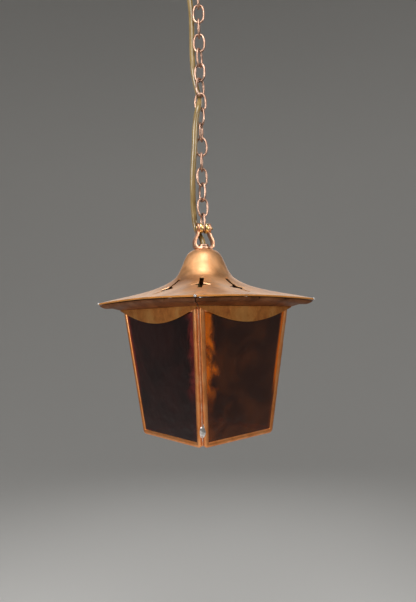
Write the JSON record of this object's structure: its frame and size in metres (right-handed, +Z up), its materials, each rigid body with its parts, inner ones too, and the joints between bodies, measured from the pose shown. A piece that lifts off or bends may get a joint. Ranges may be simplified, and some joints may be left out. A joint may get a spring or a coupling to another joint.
{
  "type": "hanging lantern",
  "caption": "Square hanging lantern with a bell-shaped metal roof over tapering amber panes, hung by a link chain and flex from a ceiling cup and hook.",
  "frame": {"origin": "middle of the ceiling bracket's top face, halfway between its two fixing holes", "axes": "+Z up to the ceiling, the lantern hangs towards -Z, its front corner points along -Y and the pin it hangs on is turned 22 degrees from X about the vertical"},
  "size_m": [0.2616, 0.2616, 0.6379],
  "materials": {
    "copper": "satin",
    "roof_copper": "satin, lightly aged",
    "bright_copper": "satin",
    "dull_copper": "dull, grey-brown patina",
    "brass": "bright",
    "zinc": "zinc plated",
    "solder": "dull",
    "white_plastic": "gloss",
    "gold_flex": "satin sheath",
    "amber_glass": "hammered, deep amber",
    "clear_glass": "clear"
  },
  "bodies": {
    "ceiling": {"ceiling_bracket": "zinc", "ceiling_hook": "copper", "shank_nuts": "brass", "ceiling_cup": "copper", "cord_grip": "brass", "cord_grip_nut": "brass", "terminal_block": "white_plastic", "flex": "gold_flex"},
    "chain_run_1": {"chain_link_01": "dull_copper", "chain_link_02": "dull_copper", "chain_link_03": "dull_copper"},
    "chain_run_2": {"chain_link_04": "dull_copper", "chain_link_05": "dull_copper", "chain_link_06": "dull_copper"},
    "chain_run_3": {"chain_link_07": "dull_copper", "chain_link_08": "dull_copper", "chain_link_09": "dull_copper"},
    "chain_run_4": {"chain_link_10": "dull_copper", "chain_link_11": "dull_copper", "chain_link_12": "dull_copper"},
    "chain_run_5": {"chain_link_13": "dull_copper", "chain_link_14": "dull_copper", "chain_link_15": "dull_copper"},
    "chain_run_6": {"chain_link_16": "dull_copper", "chain_link_17": "dull_copper", "chain_link_18": "dull_copper"},
    "lantern": {"stirrup": "copper", "cross_pin": "brass", "pin_spacers": "brass", "collar_nut": "dull_copper", "nipple": "brass", "inner_nut": "brass", "roof": "roof_copper", "soffit_front_left": "dull_copper", "soffit_front_right": "dull_copper", "soffit_back_right": "dull_copper", "soffit_back_left": "dull_copper", "apron_front_left": "dull_copper", "apron_front_right": "dull_copper", "apron_back_right": "dull_copper", "apron_back_left": "dull_copper", "frame_front_left": "bright_copper", "frame_front_right": "bright_copper", "frame_back_right": "bright_copper", "frame_back_left": "bright_copper", "glass_front_left": "amber_glass", "glass_front_right": "amber_glass", "glass_back_right": "amber_glass", "glass_back_left": "amber_glass", "solder_seams": "solder", "lampholder_cap": "brass", "lampholder_body": "brass", "shade_ring": "brass", "contact_plungers": "zinc", "bulb_cap": "zinc", "bulb_glass": "clear_glass"}
  },
  "joints": [
    {"name": "chain_on_hook", "type": "hinge", "parent": "ceiling", "child": "chain_run_1", "pos_m": [0, 0, -0.0648], "axis": [1, 0, 0], "range_deg": [-35, 35], "deforming": ["flex"]},
    {"name": "chain_bend_1", "type": "hinge", "parent": "chain_run_1", "child": "chain_run_2", "pos_m": [0, 0, -0.1197], "axis": [0, 1, 0], "range_deg": [-25, 25]},
    {"name": "chain_bend_2", "type": "hinge", "parent": "chain_run_2", "child": "chain_run_3", "pos_m": [0, 0, -0.1752], "axis": [1, 0, 0], "range_deg": [-25, 25]},
    {"name": "chain_bend_3", "type": "hinge", "parent": "chain_run_3", "child": "chain_run_4", "pos_m": [0, 0, -0.2307], "axis": [0.6293, 0.7771, 0], "range_deg": [-25, 25]},
    {"name": "chain_bend_4", "type": "hinge", "parent": "chain_run_4", "child": "chain_run_5", "pos_m": [0, 0, -0.2832], "axis": [1, 0, 0], "range_deg": [-25, 25]},
    {"name": "chain_bend_5", "type": "hinge", "parent": "chain_run_5", "child": "chain_run_6", "pos_m": [0, 0, -0.3387], "axis": [-0.5878, 0.809, 0], "range_deg": [-25, 25]},
    {"name": "lantern_swing", "type": "hinge", "parent": "chain_run_6", "child": "lantern", "pos_m": [0, 0, -0.3936], "axis": [0.9272, 0.3746, 0], "range_deg": [-30, 30]}
  ]
}
